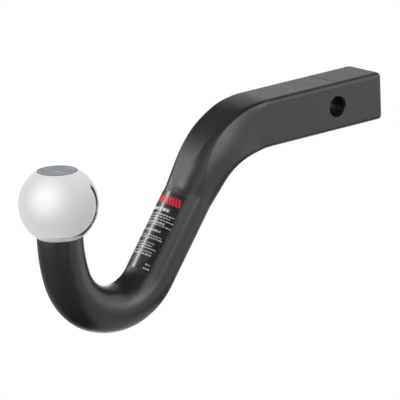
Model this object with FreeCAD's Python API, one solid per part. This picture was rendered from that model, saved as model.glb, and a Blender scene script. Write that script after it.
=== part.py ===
"""Swan-neck ball mount: one forged steel bar with a pressed-on towing ball and a wrapped label.

Frame, in millimetres: the origin is the centre of the hitch-pin hole, on the centreline of the square
shank. +X runs from the ball towards the open end of the shank, +Y is to the left and +Z is up. The bar's
centreline lies in the XZ plane: straight shank, first bend down, slanted neck, hook, and rise to the ball.
"""
import FreeCAD, Part
import math
import os

from FreeCAD import Placement, Rotation, Vector

# Square shank, which slides into a 1-1/4 inch receiver tube
SHANK_SIDE = 31.75
SHANK_EDGE_R = 3.0
SHANK_END_R = 2.8
SHANK_END_X = 40.0

# Hitch-pin hole across the shank, for a 1/2 inch pin
PIN_HOLE_R = 6.75
PIN_HOLE_CHAMFER = 0.6

# Shallow insertion mark scribed across the top of the shank: a long wall towards the ball and a short one
MARK_X = 1.5
MARK_LONG_WALL = 2.0
MARK_SHORT_WALL = 0.5
MARK_DEPTH = 0.22

# Centreline of the bar, from the shank towards the ball
BEND_START_X = -58.2
BEND_R = 60.3
BEND_DEG = 52.6
NECK_RUN = 76.6
HOOK_R = 39.1
HOOK_DEG = 125.9
RISE_R = 96.7
RISE_DEG = 90.0 + BEND_DEG - HOOK_DEG
SHOULDER_RUN = 0.7

# Radii of the round section, from the top of the neck to the ball
NECK_TOP_R = 15.8
NECK_BOTTOM_R = 15.75
HOOK_END_R = 14.95
SHOULDER_R = 14.7

# Change from the square section to the round one: it ends this far down the neck, and the reach of the
# corners from the centreline shrinks evenly to the round section's radius. The sections in between are this
# far apart, and the round one keeps slivers of this many degrees where the flats run out
SQUARE_TO_ROUND_RUN = 20.0
CORNER_REACH = 22.4
SECTION_SPACING = 5.0
SPLIT_DEG = 1.5

# Swell of both sides where the bend was pressed: how far out, and from where to where along the bend it grows
SWELL = 1.0
SWELL_START = 10.0
SWELL_FULL = 36.0

# Upper corners: how wide the top's flat and how high the side's flat still are, and from where along the
# bend, and the crease that turns from the corner's diagonal down to the side
TOP_FLAT_HALF = 9.2
TOP_FLAT_REACHED = 25.0
SIDE_FLAT_HEIGHT = -6.0
SIDE_FLAT_REACHED = 30.0
CREASE_TURNS_FROM = 28.0
DIAGONAL_DEG = 45.0
CREASE_END_DEG = 4.0

# Towing ball, 2 inch, with a flat top, and the spigot that it is pressed on
BALL_R = 25.4
BALL_FLAT_HEIGHT = 22.0
BALL_FLAT_RIM_R = 1.2
BALL_SEAT_DROP = 20.8
SPIGOT_R = 9.525
SPIGOT_LENGTH = 28.0
SPIGOT_CHAMFER = 1.0
BALL_BORE_DEPTH = 29.0

# Vinyl rating label and the clear film over it, wrapped over the upper side of the neck
LABEL_START = 24.0
LABEL_LENGTH = 55.0
LABEL_HALF_DEG = 49.0
LABEL_THICKNESS = 0.15
LAMINATE_THICKNESS = 0.10

HALF_SIDE = SHANK_SIDE / 2
BEND_LENGTH = math.radians(BEND_DEG) * BEND_R
TRANSITION_LENGTH = BEND_LENGTH + SQUARE_TO_ROUND_RUN

# How far the cutters reach past the bar, and how little an edge may bow and still count as straight
CLEAR = 10.0
STRAIGHT_TEST = 1e-6

X_AXIS = Vector(1, 0, 0)
Y_AXIS = Vector(0, 1, 0)
Z_AXIS = Vector(0, 0, 1)


class Station:
    """A point on the bar's centreline and its heading, in degrees from +X towards +Z."""

    def __init__(self, point, heading):
        self.point = point
        self.heading = heading

    def direction(self):
        angle = math.radians(self.heading)
        return Vector(math.cos(angle), 0, math.sin(angle))

    def right(self):
        """Unit vector in the XZ plane, a quarter turn clockwise from the heading."""
        angle = math.radians(self.heading - 90)
        return Vector(math.cos(angle), 0, math.sin(angle))

    def ahead(self, distance):
        return Station(self.point + self.direction() * distance, self.heading)

    def centre(self, radius, turn):
        """Centre of an arc that starts here: a positive turn is to the left, a negative one to the right."""
        side = -1 if turn > 0 else 1
        return self.point + self.right() * (side * radius)

    def around(self, radius, turn):
        """The station at the end of an arc of that radius and signed turn in degrees."""
        centre = self.centre(radius, turn)
        spoke = Rotation(-Y_AXIS, turn).multVec(self.point - centre)
        return Station(centre + spoke, self.heading + turn)


BEND_START = Station(Vector(BEND_START_X, 0, 0), 180.0)
BEND_END = BEND_START.around(BEND_R, BEND_DEG)
ROUND_START = BEND_END.ahead(SQUARE_TO_ROUND_RUN)
HOOK_START = BEND_END.ahead(NECK_RUN)
HOOK_END = HOOK_START.around(HOOK_R, -HOOK_DEG)
RISE_END = HOOK_END.around(RISE_R, -RISE_DEG)
SHOULDER = RISE_END.ahead(SHOULDER_RUN)
BALL_CENTRE = SHOULDER.ahead(BALL_SEAT_DROP).point


def rounded_square(x):
    """Face of the bar's square section, normal to X at the given x."""
    inner = HALF_SIDE - SHANK_EDGE_R
    reach = SHANK_EDGE_R * math.sqrt(0.5)
    edges = []
    for quarter in range(4):
        turn = Rotation(X_AXIS, 90 * quarter)
        points = [
            Vector(0, -inner, HALF_SIDE),
            Vector(0, inner, HALF_SIDE),
            Vector(0, inner + reach, inner + reach),
            Vector(0, HALF_SIDE, inner),
        ]
        side_start, side_end, corner_middle, corner_end = [turn.multVec(p) + Vector(x, 0, 0) for p in points]
        edges.append(Part.LineSegment(side_start, side_end).toShape())
        edges.append(Part.Arc(side_end, corner_middle, corner_end).toShape())
    return Part.Face(Part.Wire(Part.__sortEdges__(edges)))


def share_between(value, start, end):
    """How far value has gone from start to end, held within 0 and 1."""
    return min(max((value - start) / (end - start), 0.0), 1.0)


def eased(share):
    """The share with a soft start and a soft finish."""
    return share * share * (3 - 2 * share)


def bend_station(run):
    """Station at that run along the centreline from the start of the first bend."""
    if run < BEND_LENGTH:
        return BEND_START.around(BEND_R, BEND_DEG * run / BEND_LENGTH)
    return BEND_END.ahead(run - BEND_LENGTH)


def section_size(run):
    """Half the height of the section at that run, half its width and the reach of its corners."""
    share = run / TRANSITION_LENGTH
    half = HALF_SIDE + (NECK_TOP_R - HALF_SIDE) * share
    reach = CORNER_REACH + (NECK_TOP_R - CORNER_REACH) * share
    edge_reach = HALF_SIDE * math.sqrt(2) - SHANK_EDGE_R * (math.sqrt(2) - 1)
    growing = eased(share_between(run, SWELL_START, SWELL_FULL))
    fading = eased(share_between(run, SWELL_FULL, TRANSITION_LENGTH))
    return half, half + SWELL * (growing - fading), min(reach, edge_reach)


def corner_points(half, half_width, reach, top_flat, side_flat, crease_deg):
    """(side, height) points of an upper right corner: end of the top's flat, middle of the band above the
    crease, crease, middle of the band under it, and start of the side's flat."""
    crease_deg = max(crease_deg, math.degrees(math.acos(min(half_width / reach, 1.0))))
    crease_side = reach * math.cos(math.radians(crease_deg))
    crease_height = reach * math.sin(math.radians(crease_deg))
    across, down = crease_side - top_flat, half - crease_height
    band_r = (across ** 2 + down ** 2) / (2 * down)
    turn = math.atan2(across, band_r - down) / 2
    band = (top_flat + band_r * math.sin(turn), half - band_r + band_r * math.cos(turn))
    excess = max(math.hypot(*band) / reach, 1.0)
    band = (band[0] / excess, band[1] / excess)
    inward, drop = half_width - crease_side, crease_height - side_flat
    under = (half_width, side_flat + drop / 2)
    if inward > STRAIGHT_TEST:
        under_r = (inward ** 2 + drop ** 2) / (2 * inward)
        turn = math.asin(drop / under_r) / 2
        under = (half_width - under_r + under_r * math.cos(turn), side_flat + under_r * math.sin(turn))
    return [(top_flat, half), band, (crease_side, crease_height), under, (half_width, side_flat)]


def section_wire(station, right_half):
    """Closed wire of arcs and lines through (side, height) points of the right half, from the middle of the
    top to the middle of the bottom, where every second point is the middle of an edge."""
    left_half = [(-side, height) for side, height in right_half[-2:0:-1]]
    outline = left_half[-1:] + right_half + left_half[:-1]
    points = [station.point + Y_AXIS * side + station.right() * height for side, height in outline]
    edges = []
    for k in range(0, len(points), 2):
        start, middle, end = points[k], points[k + 1], points[(k + 2) % len(points)]
        straight = (middle - start).cross(end - middle).Length < STRAIGHT_TEST
        edge = Part.LineSegment(start, end) if straight else Part.Arc(start, middle, end)
        edges.append(edge.toShape())
    return Part.Wire(edges)


def transition_section(run):
    """Section of the bar at that run, between the square section and the round one. Its upper corners have a
    crease between two bands, and its lower corners are rounder, with flats that run out on the way."""
    half, half_width, reach = section_size(run)
    edge_flat = HALF_SIDE - SHANK_EDGE_R
    round_flat = math.sqrt(reach ** 2 - half ** 2)
    top_flat = edge_flat + (TOP_FLAT_HALF - edge_flat) * eased(share_between(run, 0, TOP_FLAT_REACHED))
    side_flat = edge_flat + (SIDE_FLAT_HEIGHT - edge_flat) * eased(share_between(run, 0, SIDE_FLAT_REACHED))
    side_flat *= (1 - share_between(run, SIDE_FLAT_REACHED, TRANSITION_LENGTH)) ** 2
    turning = share_between(run, CREASE_TURNS_FROM, TRANSITION_LENGTH) ** 2
    crease_deg = DIAGONAL_DEG + (CREASE_END_DEG - DIAGONAL_DEG) * turning
    upper = corner_points(half, half_width, reach, min(top_flat, round_flat), side_flat, crease_deg)
    flat = min(edge_flat, round_flat * (1 - (run / TRANSITION_LENGTH) ** 2))
    lower = corner_points(half, half_width, reach, flat, flat, DIAGONAL_DEG)
    lower = [(side, -height) for side, height in lower]
    side_middle = (half_width, (side_flat - flat) / 2)
    right_half = [(0.0, half)] + upper + [side_middle] + lower[::-1] + [(0.0, -half)]
    return section_wire(bend_station(run), right_half)


def round_section():
    """The round section where the change ends, split to match the other sections."""
    flat_end = 90 - SPLIT_DEG
    upper = [90, flat_end, (flat_end + CREASE_END_DEG) / 2, CREASE_END_DEG, (CREASE_END_DEG + SPLIT_DEG) / 2]
    lower = [SPLIT_DEG, 0, -SPLIT_DEG, -(DIAGONAL_DEG + SPLIT_DEG) / 2, -DIAGONAL_DEG]
    lower += [-(DIAGONAL_DEG + flat_end) / 2, -flat_end, -90]
    turns = [math.radians(degrees) for degrees in upper + lower]
    return section_wire(ROUND_START, [(NECK_TOP_R * math.cos(t), NECK_TOP_R * math.sin(t)) for t in turns])


def circle_at(station, radius):
    return Part.Wire(Part.makeCircle(radius, station.point, station.direction()))


def tapered_arc(start, radius, turn, start_r, end_r):
    """Round bar along an arc of the centreline, whose section radius goes evenly from start_r to end_r."""
    middle = start.around(radius, turn / 2)
    end = start.around(radius, turn)
    spine = Part.Wire(Part.Arc(start.point, middle.point, end.point).toShape())
    sweep = Part.BRepOffsetAPI.MakePipeShell(spine)
    sweep.setFrenetMode(True)
    sweep.add(circle_at(start, start_r))
    sweep.add(circle_at(end, end_r))
    sweep.build()
    sweep.makeSolid()
    return sweep.shape()


def tapered_run(start, length, start_r, end_r):
    return Part.makeCone(start_r, end_r, length, start.point, start.direction())


def only_solid(shape):
    """The one solid that the shape holds."""
    if len(shape.Solids) != 1:
        raise ValueError(f"expected one solid, found {len(shape.Solids)}")
    return shape.Solids[0]


def joined(first, others):
    """The union of touching shapes as a single clean solid."""
    return only_solid(first.fuse(others).removeSplitter())


def shank():
    """Straight square bar with rounded long edges and a rounded open end."""
    length = SHANK_END_X - BEND_START_X
    bar = rounded_square(BEND_START_X).extrude(X_AXIS * length)
    end_edges = [e for e in bar.Edges if min(v.Point.x for v in e.Vertexes) > SHANK_END_X - SHANK_END_R]
    return bar.makeFillet(SHANK_END_R, end_edges)


def square_to_round():
    """The bar round the first bend and on to the round neck, through sections that change evenly."""
    count = math.ceil(TRANSITION_LENGTH / SECTION_SPACING)
    sections = [transition_section(TRANSITION_LENGTH * k / count) for k in range(count)]
    return Part.makeLoft(sections + [round_section()], True, False)


def neck_shapes(skin):
    """The round neck from the end of the flats to the shoulder, grown outwards by skin."""
    run = NECK_RUN - SQUARE_TO_ROUND_RUN
    return [
        tapered_run(ROUND_START, run, NECK_TOP_R + skin, NECK_BOTTOM_R + skin),
        tapered_arc(HOOK_START, HOOK_R, -HOOK_DEG, NECK_BOTTOM_R + skin, HOOK_END_R + skin),
        tapered_arc(HOOK_END, RISE_R, -RISE_DEG, HOOK_END_R + skin, SHOULDER_R + skin),
        Part.makeCylinder(SHOULDER_R + skin, SHOULDER_RUN, RISE_END.point, RISE_END.direction()),
    ]


def spigot():
    """Plain upright stub on the shoulder, chamfered at its tip."""
    body = Part.makeCylinder(SPIGOT_R, SPIGOT_LENGTH - SPIGOT_CHAMFER, SHOULDER.point, Z_AXIS)
    tip_base = SHOULDER.ahead(SPIGOT_LENGTH - SPIGOT_CHAMFER).point
    tip = Part.makeCone(SPIGOT_R, SPIGOT_R - SPIGOT_CHAMFER, SPIGOT_CHAMFER, tip_base, Z_AXIS)
    return body.fuse(tip)


def pin_hole():
    """Cutter for the through hole along Y, countersunk a little at both mouths."""
    hole = Part.makeCylinder(PIN_HOLE_R, SHANK_SIDE + 2 * CLEAR, Vector(0, -HALF_SIDE - CLEAR, 0), Y_AXIS)
    mouth_r = PIN_HOLE_R + PIN_HOLE_CHAMFER
    for side in (-1, 1):
        mouth = Vector(0, side * HALF_SIDE, 0)
        chamfer = Part.makeCone(mouth_r, PIN_HOLE_R, PIN_HOLE_CHAMFER, mouth, Y_AXIS * -side)
        hole = hole.fuse(chamfer)
    return hole


def insertion_mark():
    """Cutter for the V-bottomed scribed line across the top of the shank."""
    corners = [
        Vector(MARK_X - MARK_LONG_WALL, -HALF_SIDE - CLEAR, HALF_SIDE),
        Vector(MARK_X, -HALF_SIDE - CLEAR, HALF_SIDE - MARK_DEPTH),
        Vector(MARK_X + MARK_SHORT_WALL, -HALF_SIDE - CLEAR, HALF_SIDE),
    ]
    outline = Part.makePolygon(corners + corners[:1])
    return Part.Face(outline).extrude(Y_AXIS * (SHANK_SIDE + 2 * CLEAR))


def drawbar():
    """The forging: shank, first bend, neck, hook, rise, shoulder and spigot in one piece."""
    bar = joined(shank(), [square_to_round()] + neck_shapes(0.0) + [spigot()])
    return only_solid(bar.cut([pin_hole(), insertion_mark()]))


def trailer_ball():
    """Ball with a flat top, a flat seat and a blind bore that fits the spigot."""
    ball = Part.makeSphere(BALL_R, BALL_CENTRE)
    height = BALL_FLAT_HEIGHT + BALL_SEAT_DROP
    band = Part.makeCylinder(BALL_R + CLEAR, height, SHOULDER.point, Z_AXIS)
    ball = ball.common(band)
    top_z = BALL_CENTRE.z + BALL_FLAT_HEIGHT
    rim = [e for e in ball.Edges if min(v.Point.z for v in e.Vertexes) > top_z - BALL_FLAT_RIM_R]
    ball = ball.makeFillet(BALL_FLAT_RIM_R, rim)
    bore = Part.makeCylinder(SPIGOT_R, BALL_BORE_DEPTH, SHOULDER.point, Z_AXIS)
    return only_solid(ball.cut(bore))


def label_frame(station):
    """Placement with Z along the neck and X towards its upper side, at the station."""
    upward = station.right()
    across = station.direction().cross(upward)
    return Placement(station.point, Rotation(upward, across, station.direction(), "ZXY"))


def wrapped_film(inner_skin, outer_skin):
    """A film that lies on the neck between two skins, trimmed to the label's length and wrap."""
    start = BEND_END.ahead(LABEL_START)
    wedge = Part.makeCylinder(NECK_TOP_R + CLEAR, LABEL_LENGTH, Vector(), Z_AXIS, 2 * LABEL_HALF_DEG)
    wedge.rotate(Vector(), Z_AXIS, -LABEL_HALF_DEG)
    wedge.Placement = label_frame(start).multiply(wedge.Placement)
    outer_run, outer_hook = neck_shapes(outer_skin)[:2]
    inner_run, inner_hook = neck_shapes(inner_skin)[:2]
    outer = joined(outer_run, [outer_hook])
    return only_solid(outer.common(wedge).cut([inner_run, inner_hook]))


def main():
    nodes = {
        "drawbar": drawbar(),
        "trailer_ball": trailer_ball(),
        "rating_label": wrapped_film(0.0, LABEL_THICKNESS),
        "label_laminate": wrapped_film(LABEL_THICKNESS, LABEL_THICKNESS + LAMINATE_THICKNESS),
    }
    os.makedirs("parts", exist_ok=True)
    for name, shape in nodes.items():
        shape.exportStep(f"parts/{name}.step")
        box = shape.BoundBox
        low = f"{box.XMin:.2f} {box.YMin:.2f} {box.ZMin:.2f}"
        high = f"{box.XMax:.2f} {box.YMax:.2f} {box.ZMax:.2f}"
        print(f"{name}: valid {shape.isValid()} volume {shape.Volume:.1f} box {low} to {high}")


main()
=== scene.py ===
"""Looks for the swan-neck ball mount: powder-coated forging, chrome ball, printed label and its clear film.

Everything is in metres in the part's own frame: +X towards the open end of the shank, +Z up, and the origin
at the centre of the hitch-pin hole. The ball and the label are rebuilt as finer meshes in the places that
the frame gives them.
"""
import math
import random

import bpy
from mathutils import Matrix, Vector


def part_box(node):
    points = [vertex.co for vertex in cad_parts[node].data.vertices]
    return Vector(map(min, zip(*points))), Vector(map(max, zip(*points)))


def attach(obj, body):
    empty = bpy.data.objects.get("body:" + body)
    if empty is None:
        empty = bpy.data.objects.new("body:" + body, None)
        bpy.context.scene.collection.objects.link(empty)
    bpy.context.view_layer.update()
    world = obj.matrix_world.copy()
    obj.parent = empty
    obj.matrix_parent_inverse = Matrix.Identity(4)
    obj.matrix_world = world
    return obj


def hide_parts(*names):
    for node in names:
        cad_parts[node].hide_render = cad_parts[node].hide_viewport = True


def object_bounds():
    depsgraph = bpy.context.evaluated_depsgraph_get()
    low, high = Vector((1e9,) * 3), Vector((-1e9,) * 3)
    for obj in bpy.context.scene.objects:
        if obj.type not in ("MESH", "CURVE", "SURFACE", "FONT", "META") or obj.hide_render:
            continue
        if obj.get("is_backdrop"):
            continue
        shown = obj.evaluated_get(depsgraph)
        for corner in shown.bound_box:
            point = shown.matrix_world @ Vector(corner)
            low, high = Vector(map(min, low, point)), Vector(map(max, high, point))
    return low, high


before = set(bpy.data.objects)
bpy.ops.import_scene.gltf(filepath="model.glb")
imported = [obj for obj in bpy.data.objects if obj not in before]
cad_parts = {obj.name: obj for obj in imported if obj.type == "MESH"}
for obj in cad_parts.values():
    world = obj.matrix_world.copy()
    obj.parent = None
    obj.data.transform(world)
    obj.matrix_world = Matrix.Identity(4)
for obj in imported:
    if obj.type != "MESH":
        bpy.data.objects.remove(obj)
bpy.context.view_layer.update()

MM = 0.001
NOISE_RANGE = (0.3, 0.7)
SHARP_ANGLE = math.radians(30)

# Camera: where it looks from, and how far its axis passes from the middle of the part
CAMERA_AZIMUTH = math.radians(-40.706)
CAMERA_ELEVATION = math.radians(15.027)
CAMERA_ROLL = math.radians(-2.109)
CAMERA_DISTANCE = 3.2149
CAMERA_SIDE = -2.2 * MM
CAMERA_RISE = 5.1 * MM
CAMERA_LENS_MM = 448.73
CAMERA_SENSOR_MM = 36.0
CAMERA_NEAREST = 0.1
CAMERA_FARTHEST = 100
FLOOR_SIZE = 60

# Centreline of the neck, from the end of the first bend: a straight run, then the hook's arc
BEND_START_X = -58.2 * MM
BEND_R = 60.3 * MM
BEND_ANGLE = math.radians(52.6)
NECK_RUN = 76.6 * MM
HOOK_R = 39.1 * MM
NECK_TOP_R = 15.8 * MM
NECK_BOTTOM_R = 15.75 * MM
SQUARE_TO_ROUND_RUN = 20.0 * MM

# Rating label: where it starts along the neck, its length, its wrap, its corners and the height of its layers
LABEL_START = 24.0 * MM
LABEL_LENGTH = 55.0 * MM
LABEL_HALF_WRAP = math.radians(49.0)
LABEL_CORNER_R = 1.5 * MM
VINYL_TOP = 0.15 * MM
INK_TOP = 0.18 * MM
FILM_TOP = 0.25 * MM

# Mesh of the label's layers: the spacing of its points, and where the extra rows lie in a rounded corner
PATCH_STEP = 0.7 * MM
CORNER_ROWS = (0.03, 0.12, 0.3, 0.6)

# Marks on the label: pale lines down its edges, which are a painted highlight of the film's edges catching
# light, and printed stripes across its top, each a share of its pitch wide
EDGE_GLINT_WIDTH = 0.35 * MM
STRIPE_COUNT = 11
STRIPE_SLANT = math.radians(6)
STRIPE_SHARE = 0.68
STRIPE_DISTANCE = 3.0 * MM
STRIPE_LENGTH = 5.2 * MM
STRIPE_MARGIN = math.radians(2)

# Rows of blocks below the stripes: their margin, the longest block in each kind of row, the shortest as a
# share of the longest, and the gap between blocks
PRINT_MARGIN = math.radians(3)
LONGEST_BOLD = 4.0 * MM
LONGEST_FINE = 2.4 * MM
LONGEST_FOOT = 1.6 * MM
SHORTEST_SHARE = 0.35
WORD_GAP = 0.55 * MM
PRINT_SEED = 7

# Towing ball: how far its centre is above its seat, the rim of its flat, and the bore that takes the spigot
BALL_SEAT_DROP = 20.8 * MM
BALL_RIM_R = 1.2 * MM
BALL_BORE_R = 9.525 * MM
BALL_BORE_DEPTH = 29.0 * MM
BALL_SEGMENTS = 256
BALL_RINGS = 120
BALL_RIM_RINGS = 12

# Flat of the ball: how deep it is recessed, the width of the land round it, and the turn of its streaks and
# their scale along their length
FLAT_RECESS = 0.12 * MM
FLAT_LAND = 1.3 * MM
STREAK_TURN = math.radians(40)
STREAK_STRETCH = 0.2

# Satin band of the ball: fully satin up to one height above the seat, and polished from the next
SATIN_FULL = 2.2 * MM
SATIN_RISE = 4.4 * MM
SATIN_ROUGHNESS = 0.6

# Tent round the ball: its size and brightness, how that leans from side to side, and its glow and its shade
# (each a strength, an azimuth and elevation in degrees, and a tightness)
TENT_R = 8.0
TENT_SEGMENTS = 64
TENT_RINGS = 32
TENT_STRENGTH = 0.69
TENT_LEAN = (0.057, 0.057, 0.028)
TENT_GLOW = (0.37, -79, 26, 2.2)
TENT_SHADE = (-0.18, 72, -33, 1.9)

# Softboxes of the painted parts and of the film, each: name, azimuth, elevation, width and height in degrees,
# and brightness
SOFTBOX_DISTANCE = 1.2
PAINT_SOFTBOXES = (
    ("left_key", -90, 20, 30, 30, 10.8),
    ("rear_left_panel", -130, 20, 100, 30, 2.4),
    ("rear_left_wall", -125, 22, 60, 60, 1.4),
    ("front_accent", 20, 18, 26, 34, 2.6),
    ("front_high", -10, 30, 24, 30, 1.7),
    ("front_band", 35, 15, 40, 20, 1.0),
    ("front_left_wall", -30, 15, 30, 60, 0.7),
    ("front_wall", 40, 10, 90, 80, 0.7),
    ("right_strip", 50, 10, 20, 60, 0.6),
    ("right_wall", 100, 10, 90, 80, 0.5),
    ("rear_right_strip", 140, -20, 16, 60, 1.7),
    ("under_panel", 80, -60, 100, 40, 0.75),
    ("rear_under", 165, -35, 60, 40, 0.3),
)
FILM_SOFTBOXES = (
    ("film_strip", -151, 28, 9, 34, 18.0),
    ("film_wall", 20, 10, 100, 80, 1.0),
)


# ---------------------------------------------------------------- camera, floor and light

def aim_camera():
    """A long lens at the part's three-quarter view, turned a little about its own axis."""
    low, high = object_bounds()
    middle = (low + high) / 2
    back = Vector((
        math.sin(CAMERA_AZIMUTH) * math.cos(CAMERA_ELEVATION),
        -math.cos(CAMERA_AZIMUTH) * math.cos(CAMERA_ELEVATION),
        math.sin(CAMERA_ELEVATION),
    ))
    level_right = Vector((math.cos(CAMERA_AZIMUTH), math.sin(CAMERA_AZIMUTH), 0))
    level_up = back.cross(level_right)
    right = level_right * math.cos(CAMERA_ROLL) + level_up * math.sin(CAMERA_ROLL)
    up = back.cross(right)
    camera = bpy.data.objects.new("camera", bpy.data.cameras.new("camera"))
    bpy.context.scene.collection.objects.link(camera)
    turn = Matrix((right, up, back)).transposed().to_4x4()
    place = middle + back * CAMERA_DISTANCE + right * CAMERA_SIDE + up * CAMERA_RISE
    camera.matrix_world = Matrix.Translation(place) @ turn
    camera.data.lens = CAMERA_LENS_MM
    camera.data.sensor_width = CAMERA_SENSOR_MM
    camera.data.clip_start = CAMERA_NEAREST
    camera.data.clip_end = CAMERA_FARTHEST
    bpy.context.scene.camera = camera


def sky_direction(azimuth, elevation):
    """Unit vector towards a place round the part: azimuth 0 is -Y and 90 is +X, in degrees."""
    a = math.radians(azimuth)
    e = math.radians(elevation)
    return Vector((math.sin(a) * math.cos(e), -math.cos(a) * math.cos(e), math.sin(e)))


class Nodes:
    """A node tree with short calls for adding and joining nodes."""

    def __init__(self, tree):
        self.tree = tree
        self.tree.nodes.clear()

    def add(self, kind, settings=None, **sockets):
        node = self.tree.nodes.new(kind)
        for name, value in (settings or {}).items():
            setattr(node, name, value)
        for name, value in sockets.items():
            self.feed(node.inputs[name.replace("_", " ")], value)
        return node

    def feed(self, socket, value):
        if isinstance(value, bpy.types.NodeSocket):
            self.tree.links.new(value, socket)
        else:
            socket.default_value = value

    def maths(self, operation, *values):
        node = self.tree.nodes.new("ShaderNodeMath")
        node.operation = operation
        for socket, value in zip(node.inputs, values):
            self.feed(socket, value)
        return node.outputs[0]

    def dot(self, value, direction):
        node = self.tree.nodes.new("ShaderNodeVectorMath")
        node.operation = "DOT_PRODUCT"
        self.feed(node.inputs[0], value)
        node.inputs[1].default_value = direction
        return node.outputs["Value"]

    def blend(self, factor, first, second):
        node = self.tree.nodes.new("ShaderNodeMix")
        node.data_type = "RGBA"
        self.feed(node.inputs[0], factor)
        self.feed(node.inputs[6], first)
        self.feed(node.inputs[7], second)
        return node.outputs[2]

    def noise(self, place, scale, detail):
        node = self.add("ShaderNodeTexNoise", Scale=scale, Detail=detail)
        self.feed(node.inputs["Vector"], place)
        return node.outputs["Fac"]

    def span(self, value, low, high):
        """Spreads a noise, which mostly stays within NOISE_RANGE, from low to high."""
        node = self.tree.nodes.new("ShaderNodeMapRange")
        self.feed(node.inputs["Value"], value)
        node.inputs["From Min"].default_value, node.inputs["From Max"].default_value = NOISE_RANGE
        node.inputs["To Min"].default_value = low
        node.inputs["To Max"].default_value = high
        return node.outputs[0]


def white_surround():
    """Plain white wherever the camera looks past the part."""
    world = bpy.data.worlds.new("white_surround")
    bpy.context.scene.world = world
    world.use_nodes = True
    nodes = Nodes(world.node_tree)
    background = nodes.add("ShaderNodeBackground", Color=(1, 1, 1, 1), Strength=1.0)
    output = nodes.add("ShaderNodeOutputWorld")
    nodes.feed(output.inputs["Surface"], background.outputs[0])


def light_tent(receivers):
    """A pale round tent that the plated parts mirror, with a glow on one side and a shade on the other."""
    bpy.ops.mesh.primitive_uv_sphere_add(radius=TENT_R, segments=TENT_SEGMENTS, ring_count=TENT_RINGS)
    tent = bpy.context.object
    tent.name = "light_tent"
    material = bpy.data.materials.new("tent_cloth")
    material.use_nodes = True
    material.cycles.emission_sampling = "NONE"
    nodes = Nodes(material.node_tree)
    place = nodes.add("ShaderNodeTexCoord").outputs["Object"]
    direction = nodes.add("ShaderNodeVectorMath", {"operation": "NORMALIZE"})
    nodes.feed(direction.inputs[0], place)
    brightness = nodes.maths("ADD", nodes.dot(direction.outputs[0], TENT_LEAN), TENT_STRENGTH)
    for strength, azimuth, elevation, tightness in (TENT_GLOW, TENT_SHADE):
        facing = nodes.dot(direction.outputs[0], sky_direction(azimuth, elevation))
        lobe = nodes.maths("POWER", nodes.maths("MAXIMUM", facing, 0.0), tightness)
        brightness = nodes.maths("MULTIPLY_ADD", lobe, strength, brightness)
    cloth = nodes.add("ShaderNodeEmission", Color=(1, 1, 1, 1))
    nodes.feed(cloth.inputs["Strength"], brightness)
    output = nodes.add("ShaderNodeOutputMaterial")
    nodes.feed(output.inputs["Surface"], cloth.outputs[0])
    tent.data.materials.append(material)
    tent.visible_camera = False
    tent.visible_shadow = False
    tent.light_linking.receiver_collection = receivers
    tent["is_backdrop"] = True


def softbox(name, azimuth, elevation, width, height, brightness, receivers):
    """A soft rectangular lamp that faces the part, spans those angles and lights only the receivers."""
    low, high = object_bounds()
    data = bpy.data.lights.new(name, "AREA")
    data.shape = "RECTANGLE"
    data.size = 2 * SOFTBOX_DISTANCE * math.tan(math.radians(width / 2))
    data.size_y = 2 * SOFTBOX_DISTANCE * math.tan(math.radians(height / 2))
    data.energy = brightness * math.pi * data.size * data.size_y
    lamp = bpy.data.objects.new(name, data)
    bpy.context.scene.collection.objects.link(lamp)
    towards = sky_direction(azimuth, elevation)
    lamp.location = (low + high) / 2 + towards * SOFTBOX_DISTANCE
    lamp.rotation_mode = "QUATERNION"
    lamp.rotation_quaternion = towards.to_track_quat("Z", "Y")
    lamp.light_linking.receiver_collection = receivers


def floor():
    """Plain pale floor under the hook, which glows white and is clear from below."""
    low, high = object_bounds()
    bpy.ops.mesh.primitive_plane_add(size=FLOOR_SIZE, location=((low.x + high.x) / 2, 0, low.z))
    plane = bpy.context.object
    plane.name = "floor"
    material = bpy.data.materials.new("pale_floor")
    material.use_nodes = True
    nodes = Nodes(material.node_tree)
    under = nodes.add("ShaderNodeNewGeometry").outputs["Backfacing"]
    top = nodes.add("ShaderNodeEmission", Color=(1, 1, 1, 1), Strength=1.0)
    below = nodes.add("ShaderNodeBsdfTransparent")
    mix = nodes.add("ShaderNodeMixShader")
    nodes.feed(mix.inputs[0], under)
    nodes.feed(mix.inputs[1], top.outputs[0])
    nodes.feed(mix.inputs[2], below.outputs[0])
    output = nodes.add("ShaderNodeOutputMaterial")
    nodes.feed(output.inputs["Surface"], mix.outputs[0])
    plane.data.materials.append(material)
    plane.visible_diffuse = False
    plane.visible_glossy = False
    plane.visible_transmission = False
    plane.visible_shadow = False
    plane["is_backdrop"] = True


# ---------------------------------------------------------------- materials

def new_material(name):
    material = bpy.data.materials.new(name)
    material.use_nodes = True
    nodes = Nodes(material.node_tree)
    place = nodes.add("ShaderNodeTexCoord").outputs["Object"]
    shader = nodes.add("ShaderNodeBsdfPrincipled")
    output = nodes.add("ShaderNodeOutputMaterial")
    nodes.feed(output.inputs["Surface"], shader.outputs[0])
    return material, nodes, place, shader


def relief(nodes, shader, height, depth, edge_r=0.0):
    """Feeds a height in 0..1 to the shader's normal, with depth in metres, over edges softened by edge_r."""
    bump = nodes.add("ShaderNodeBump", Strength=1.0, Distance=depth)
    nodes.feed(bump.inputs["Height"], height)
    if edge_r:
        soft = nodes.add("ShaderNodeBevel", {"samples": 6}, Radius=edge_r)
        nodes.feed(bump.inputs["Normal"], soft.outputs["Normal"])
    nodes.feed(shader.inputs["Normal"], bump.outputs["Normal"])


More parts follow.
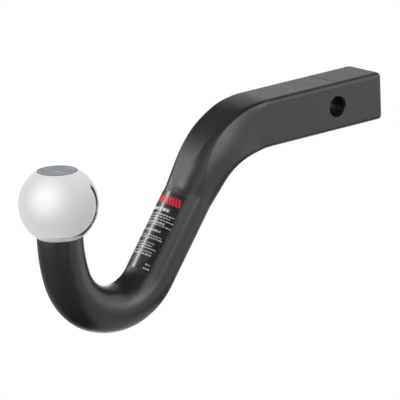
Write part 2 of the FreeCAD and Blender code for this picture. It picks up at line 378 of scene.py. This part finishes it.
def powder_coat():
    """Satin black powder coat: fine orange peel, faint clouding and a little uneven gloss."""
    material, nodes, place, shader = new_material("black_powder_coat")
    cloud = nodes.noise(place, 45, 4)
    coat = nodes.blend(cloud, (0.016, 0.016, 0.0165, 1), (0.022, 0.022, 0.0225, 1))
    nodes.feed(shader.inputs["Base Color"], coat)
    nodes.feed(shader.inputs["Roughness"], nodes.span(nodes.noise(place, 160, 3), 0.27, 0.33))
    shader.inputs["Specular IOR Level"].default_value = 0.5
    peel = nodes.noise(place, 900, 2)
    grit = nodes.noise(place, 4200, 2)
    relief(nodes, shader, nodes.maths("MULTIPLY_ADD", grit, 0.25, peel), 0.006 * MM, 0.7 * MM)
    return material


def chrome(seat_z):
    """Polished chrome plate with faint haze and handling marks, which turns satin just above the seat."""
    material, nodes, place, shader = new_material("polished_chrome")
    haze = nodes.noise(place, 70, 5)
    nodes.feed(shader.inputs["Base Color"], nodes.blend(haze, (0.93, 0.93, 0.935, 1), (0.97, 0.97, 0.972, 1)))
    shader.inputs["Metallic"].default_value = 1.0
    satin = nodes.add("ShaderNodeMapRange", {"interpolation_type": "SMOOTHSTEP"})
    nodes.feed(satin.inputs["Value"], nodes.add("ShaderNodeSeparateXYZ", Vector=place).outputs["Z"])
    satin.inputs["From Min"].default_value = seat_z + SATIN_FULL
    satin.inputs["From Max"].default_value = seat_z + SATIN_RISE
    satin.inputs["To Min"].default_value = SATIN_ROUGHNESS
    satin.inputs["To Max"].default_value = 0.0
    polish = nodes.span(nodes.noise(place, 240, 4), 0.05, 0.10)
    nodes.feed(shader.inputs["Roughness"], nodes.maths("ADD", polish, satin.outputs[0]))
    relief(nodes, shader, nodes.noise(place, 500, 3), 0.0006 * MM)
    return material


def turned_steel(name, centre, dark, light):
    """Bare turned steel round that centre: matt and streaked, with the rings that the tool left."""
    material, nodes, place, shader = new_material(name)
    shift = nodes.add("ShaderNodeVectorMath", {"operation": "SUBTRACT"})
    nodes.feed(shift.inputs[0], place)
    shift.inputs[1].default_value = centre
    pattern = {"wave_type": "RINGS", "rings_direction": "Z"}
    rings = nodes.add("ShaderNodeTexWave", pattern, Scale=900.0, Distortion=1.2)
    nodes.feed(rings.inputs["Vector"], shift.outputs[0])
    lie = nodes.add("ShaderNodeMapping", Rotation=(0, 0, STREAK_TURN), Scale=(1, STREAK_STRETCH, 1))
    nodes.feed(lie.inputs["Vector"], shift.outputs[0])
    streak = nodes.span(nodes.noise(lie.outputs[0], 260, 3), 0.0, 1.0)
    nodes.feed(shader.inputs["Base Color"], nodes.blend(streak, (*dark, 1), (*light, 1)))
    shader.inputs["Metallic"].default_value = 1.0
    nodes.feed(shader.inputs["Roughness"], nodes.span(nodes.noise(place, 300, 4), 0.36, 0.52))
    relief(nodes, shader, rings.outputs["Fac"], 0.004 * MM)
    return material


def printed(name, colour, worn, roughness):
    """Ink or vinyl: colour that a faint print grain lightens towards worn."""
    material, nodes, place, shader = new_material(name)
    shader.inputs["Specular IOR Level"].default_value = 0.15
    grain = nodes.noise(place, 2600, 3)
    nodes.feed(shader.inputs["Base Color"], nodes.blend(grain, (*colour, 1), (*worn, 1)))
    uneven = nodes.span(nodes.noise(place, 500, 3), roughness - 0.04, roughness + 0.04)
    nodes.feed(shader.inputs["Roughness"], uneven)
    relief(nodes, shader, grain, 0.002 * MM)
    return material


def clear_film():
    """Clear gloss film: see-through, with the mirror of a thin plastic skin."""
    material = bpy.data.materials.new("clear_film")
    material.use_nodes = True
    nodes = Nodes(material.node_tree)
    place = nodes.add("ShaderNodeTexCoord").outputs["Object"]
    bump = nodes.add("ShaderNodeBump", Strength=1.0, Distance=0.0006 * MM)
    nodes.feed(bump.inputs["Height"], nodes.noise(place, 500, 2))
    gloss = nodes.add("ShaderNodeBsdfAnisotropic")
    gloss.inputs["Color"].default_value = (1, 1, 1, 1)
    nodes.feed(gloss.inputs["Roughness"], nodes.span(nodes.noise(place, 300, 3), 0.25, 0.29))
    nodes.feed(gloss.inputs["Normal"], bump.outputs["Normal"])
    clear = nodes.add("ShaderNodeBsdfTransparent")
    mirror = nodes.add("ShaderNodeFresnel", IOR=1.5)
    under = nodes.add("ShaderNodeNewGeometry").outputs["Backfacing"]
    mix = nodes.add("ShaderNodeMixShader")
    above = nodes.maths("SUBTRACT", 1.0, under)
    nodes.feed(mix.inputs[0], nodes.maths("MULTIPLY", mirror.outputs[0], above))
    nodes.feed(mix.inputs[1], clear.outputs[0])
    nodes.feed(mix.inputs[2], gloss.outputs[0])
    output = nodes.add("ShaderNodeOutputMaterial")
    nodes.feed(output.inputs["Surface"], mix.outputs[0])
    return material


# ---------------------------------------------------------------- pieces

def add_piece(name, points, faces, materials, face_slots=()):
    """A mesh piece that rides on the one body of the part."""
    mesh = bpy.data.meshes.new(name)
    mesh.from_pydata([tuple(p) for p in points], [], faces)
    for material in materials:
        mesh.materials.append(material)
    for index, slot in enumerate(face_slots):
        mesh.polygons[index].material_index = slot
    mesh.update()
    mesh.shade_smooth()
    mesh.set_sharp_from_angle(angle=SHARP_ANGLE)
    piece = bpy.data.objects.new(name, mesh)
    bpy.context.scene.collection.objects.link(piece)
    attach(piece, "root")
    return piece


def turned_body(name, profile, centre, materials, slots):
    """A closed body of revolution about the upright line through centre: profile is (radius, height) pairs
    that start and end on the axis, and slots holds one material slot for each stretch of the profile."""
    points = []
    rings = []
    for radius, height in profile:
        if radius == 0:
            rings.append([len(points)])
            points.append(Vector((centre.x, centre.y, height)))
            continue
        ring = []
        for step in range(BALL_SEGMENTS):
            angle = 2 * math.pi * step / BALL_SEGMENTS
            ring.append(len(points))
            points.append(Vector((
                centre.x + radius * math.cos(angle),
                centre.y + radius * math.sin(angle),
                height,
            )))
        rings.append(ring)
    faces = []
    face_slots = []
    for (lower, upper), slot in zip(zip(rings, rings[1:]), slots):
        for step in range(BALL_SEGMENTS):
            after = (step + 1) % BALL_SEGMENTS
            if len(lower) == 1:
                face = (lower[0], upper[after], upper[step])
            elif len(upper) == 1:
                face = (lower[step], lower[after], upper[0])
            else:
                face = (lower[step], lower[after], upper[after], upper[step])
            faces.append(face)
            face_slots.append(slot)
    return add_piece(name, points, faces, materials, face_slots)


def ball_profile(centre_z, ball_r, seat_z, top_z):
    """Outline of the ball from the top of its bore, down, round the sphere and in to the middle of the flat,
    with a material slot for each stretch: 0 for chrome, 1 for the turned flat, 2 for its rim, which is darker
    steel as painted shade."""
    bore_end_z = seat_z + BALL_BORE_DEPTH
    profile = [(0, bore_end_z), (BALL_BORE_R, bore_end_z), (BALL_BORE_R, seat_z)]
    slots = [0, 0]
    seat_angle = math.asin((seat_z - centre_z) / ball_r)
    rim_middle_z = top_z - BALL_RIM_R
    rim_middle_r = math.sqrt((ball_r - BALL_RIM_R) ** 2 - (rim_middle_z - centre_z) ** 2)
    rim_angle = math.atan2(rim_middle_z - centre_z, rim_middle_r)
    for step in range(BALL_RINGS + 1):
        angle = seat_angle + (rim_angle - seat_angle) * step / BALL_RINGS
        profile.append((ball_r * math.cos(angle), centre_z + ball_r * math.sin(angle)))
        slots.append(0)
    for step in range(1, BALL_RIM_RINGS + 1):
        angle = rim_angle + (math.pi / 2 - rim_angle) * step / BALL_RIM_RINGS
        out = BALL_RIM_R * math.cos(angle)
        rise = BALL_RIM_R * math.sin(angle)
        profile.append((rim_middle_r + out, rim_middle_z + rise))
        slots.append(2)
    land_r = rim_middle_r - FLAT_LAND
    floor_z = top_z - FLAT_RECESS
    profile += [(land_r, top_z), (land_r - FLAT_RECESS, floor_z), (0, floor_z)]
    slots += [1, 1, 1]
    return profile, slots


def towing_ball(materials):
    """The ball with its chrome sphere, bore and seat, and a matt flat inside a narrow land."""
    low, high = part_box("trailer_ball")
    radius = (high.x - low.x) / 2
    centre = Vector(((high.x + low.x) / 2, 0, low.z + BALL_SEAT_DROP))
    profile, slots = ball_profile(centre.z, radius, low.z, high.z)
    ball = turned_body("ball_shell", profile, centre, materials, slots)
    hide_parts("trailer_ball")
    return ball


# ---------------------------------------------------------------- label

def heading(angle):
    """Unit vector in the XZ plane, at that angle from +X towards +Z."""
    return Vector((math.cos(angle), 0, math.sin(angle)))


def on_neck(along, turn, height):
    """A point near the neck: along from the end of the first bend, turned from the neck's upper side towards
    -Y, at that height above its surface."""
    neck_heading = math.pi + BEND_ANGLE
    upper = heading(neck_heading - math.pi / 2)
    run = min(along, NECK_RUN)
    point = Vector((BEND_START_X, 0, -BEND_R)) + upper * BEND_R + heading(neck_heading) * run
    if along > NECK_RUN:
        hook_centre = point + upper * HOOK_R
        upper = heading(neck_heading - math.pi / 2 - (along - NECK_RUN) / HOOK_R)
        point = hook_centre - upper * HOOK_R
    share = max(run - SQUARE_TO_ROUND_RUN, 0) / (NECK_RUN - SQUARE_TO_ROUND_RUN)
    radius = NECK_TOP_R + (NECK_BOTTOM_R - NECK_TOP_R) * share + height
    return point + upper * (radius * math.cos(turn)) + Vector((0, -1, 0)) * (radius * math.sin(turn))


def corner_inset(edge_distance, corner_r):
    """How far a rounded corner draws the side in, at that distance from the end of the patch."""
    depth = corner_r - min(edge_distance, corner_r)
    return corner_r - math.sqrt(max(corner_r ** 2 - depth ** 2, 0))


def neck_patch(start, end, left, right, base, top, corner_r=0.0, slant=0.0):
    """Points and faces of a thin closed pad on the neck, between two places along it and two turns. A slant
    turns its far end that much further."""
    lines = max(2, math.ceil((end - start) / PATCH_STEP))
    places = [start + (end - start) * k / lines for k in range(lines + 1)]
    if corner_r:
        for share in CORNER_ROWS:
            places += [start + corner_r * share, end - corner_r * share]
    places = sorted(places)
    across = max(1, math.ceil((right - left) * NECK_TOP_R / PATCH_STEP))
    points = []
    for height in (top, base):
        for along in places:
            inset = corner_inset(min(along - start, end - along), corner_r) / NECK_TOP_R if corner_r else 0
            for k in range(across + 1):
                turn = left + inset + (right - left - 2 * inset) * k / across
                turn += slant * (along - start) / (end - start)
                points.append(on_neck(along, turn, height))
    width = across + 1
    under = width * len(places)
    faces = []
    for row in range(len(places) - 1):
        for k in range(across):
            a = row * width + k
            faces.append((a, a + 1, a + width + 1, a + width))
            faces.append((under + a, under + a + width, under + a + width + 1, under + a + 1))
    rim = list(range(width))
    rim += [row * width + across for row in range(1, len(places))]
    rim += [(len(places) - 1) * width + k for k in range(across - 1, -1, -1)]
    rim += [row * width for row in range(len(places) - 2, 0, -1)]
    for a, b in zip(rim, rim[1:] + rim[:1]):
        faces.append((b, a, under + a, under + b))
    return points, faces


def neck_pads(name, pads, material, base, top, slant=0.0):
    """One piece made of many thin pads, each (start, end, left, right)."""
    points = []
    faces = []
    for start, end, left, right in pads:
        more, more_faces = neck_patch(start, end, left, right, base, top, slant=slant)
        faces += [tuple(len(points) + index for index in face) for face in more_faces]
        points += more
    return add_piece(name, points, faces, [material])


def word_pads(start, height, left, right, longest, draw):
    """A row of blocks of uneven length that stands for a printed line, with no letters."""
    pads = []
    turn = left
    while turn < right:
        length = draw.uniform(SHORTEST_SHARE, 1.0) * longest / NECK_TOP_R
        end = min(turn + length, right)
        pads.append((start, start + height, turn, end))
        turn = end + WORD_GAP / NECK_TOP_R
    return pads


def header_pads():
    """Plain warning stripes across the top of the label, which lean by STRIPE_SLANT."""
    start = LABEL_START + STRIPE_DISTANCE
    edge = LABEL_HALF_WRAP - STRIPE_MARGIN
    pitch = (2 * edge - STRIPE_SLANT) / STRIPE_COUNT
    return [
        (start, start + STRIPE_LENGTH, -edge + k * pitch, -edge + (k + STRIPE_SHARE) * pitch)
        for k in range(STRIPE_COUNT)
    ]


def edge_glint_pads():
    """Pale lines down both long edges of the label: a painted highlight of the film's edges catching light.
    """
    first = LABEL_START + LABEL_CORNER_R
    last = LABEL_START + LABEL_LENGTH - LABEL_CORNER_R
    width = EDGE_GLINT_WIDTH / NECK_TOP_R
    edge = LABEL_HALF_WRAP - width / 4
    return [(first, last, -edge, width - edge), (first, last, edge - width, edge)]


# Rows of print on the label, each: distance from its top edge and height in millimetres, and the share of the
# wrap that it fills
BOLD_LINES = ((11.3, 2.2, 0.77), (21.0, 1.2, 0.80), (26.5, 1.3, 0.79))
FINE_LINES = (
    (15.4, 0.8, 0.97), (17.3, 0.6, 0.88), (19.2, 0.6, 1.0), (22.9, 0.6, 1.0), (30.6, 0.7, 0.89),
    (32.2, 0.8, 0.93), (35.8, 0.6, 0.80), (37.6, 0.6, 0.75), (39.3, 0.7, 0.88), (41.6, 0.7, 0.84),
    (43.4, 1.0, 0.85),
)

# Short rows at the foot of the label, each: distance and height as above, and the shares of the wrap that it
# starts and ends at
FOOT_MARKS = ((49.4, 1.0, 0.80, 0.92), (52.2, 1.3, 0.78, 0.97))


def line_pads(lines, longest, draw):
    """Blocks of the rows that start at the label's left edge."""
    pads = []
    edge = LABEL_HALF_WRAP - PRINT_MARGIN
    for distance, height, share in lines:
        start = LABEL_START + distance * MM
        pads += word_pads(start, height * MM, -edge, -edge + 2 * edge * share, longest, draw)
    return pads


def foot_pads(draw):
    """Blocks of the short rows at the foot of the label."""
    pads = []
    edge = LABEL_HALF_WRAP - PRINT_MARGIN
    for distance, height, left, right in FOOT_MARKS:
        start = LABEL_START + distance * MM
        first = -edge + 2 * edge * left
        last = -edge + 2 * edge * right
        pads += word_pads(start, height * MM, first, last, LONGEST_FOOT, draw)
    return pads


def rating_label():
    """The vinyl, its red stripes and rows of print, pale lines down its edges that are a painted highlight of
    the film's edges catching light, and the clear film over them. No mirror shows the stripes."""
    draw = random.Random(PRINT_SEED)
    end = LABEL_START + LABEL_LENGTH
    vinyl = printed("black_vinyl", (0.014, 0.014, 0.0145), (0.022, 0.022, 0.0225), 0.42)
    white = printed("white_ink", (0.54, 0.54, 0.54), (0.66, 0.66, 0.66), 0.45)
    red = printed("red_ink", (0.60, 0.016, 0.026), (0.72, 0.022, 0.032), 0.45)
    points, faces = neck_patch(
        LABEL_START, end, -LABEL_HALF_WRAP, LABEL_HALF_WRAP, 0.0, VINYL_TOP, LABEL_CORNER_R)
    sheet = add_piece("label_sheet", points, faces, [vinyl])
    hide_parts("rating_label")
    # grey lines down the label's edges: painted highlight of the film's edges catching light
    grey = printed("painted_glint_grey", (0.09, 0.09, 0.09), (0.13, 0.13, 0.13), 0.45)
    band = neck_pads("label_warning_band", header_pads(), red, VINYL_TOP, INK_TOP, STRIPE_SLANT)
    edge_glint = neck_pads("label_edge_glint", edge_glint_pads(), grey, VINYL_TOP, INK_TOP)
    bold = neck_pads("label_bold_lines", line_pads(BOLD_LINES, LONGEST_BOLD, draw), white, VINYL_TOP, INK_TOP)
    fine_pads = line_pads(FINE_LINES, LONGEST_FINE, draw) + foot_pads(draw)
    fine = neck_pads("label_fine_lines", fine_pads, white, VINYL_TOP, INK_TOP)
    band.visible_glossy = False
    points, faces = neck_patch(
        LABEL_START, end, -LABEL_HALF_WRAP, LABEL_HALF_WRAP, INK_TOP, FILM_TOP, LABEL_CORNER_R)
    film = add_piece("label_film", points, faces, [clear_film()])
    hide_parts("label_laminate")
    return [sheet, band, edge_glint, bold, fine, film]


# ---------------------------------------------------------------- build

bpy.context.scene.view_settings.view_transform = "Standard"
aim_camera()
white_surround()
floor()

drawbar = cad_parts["drawbar"]
drawbar.data.materials.clear()
drawbar.data.materials.append(powder_coat())

ball_low, ball_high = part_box("trailer_ball")
flat_centre = Vector(((ball_low.x + ball_high.x) / 2, 0, ball_high.z))
flat_steel = turned_steel("turned_flat", flat_centre, (0.26, 0.275, 0.29), (0.46, 0.49, 0.53))
# the rim gets a darker copy of the flat's turned steel: painted shade of the dark line round the flat
rim_shade_steel = turned_steel("rim_painted_shade", flat_centre, (0.10, 0.105, 0.11), (0.16, 0.165, 0.175))
ball = towing_ball([chrome(ball_low.z), flat_steel, rim_shade_steel])
plated = bpy.data.collections.new("plated_parts")
plated.objects.link(ball)
light_tent(plated)

*prints, film = rating_label()
painted = bpy.data.collections.new("painted_parts")
for piece in [drawbar] + prints:
    painted.objects.link(piece)
for box in PAINT_SOFTBOXES:
    softbox(*box, painted)
filmed = bpy.data.collections.new("filmed_parts")
filmed.objects.link(film)
for box in FILM_SOFTBOXES:
    softbox(*box, filmed)
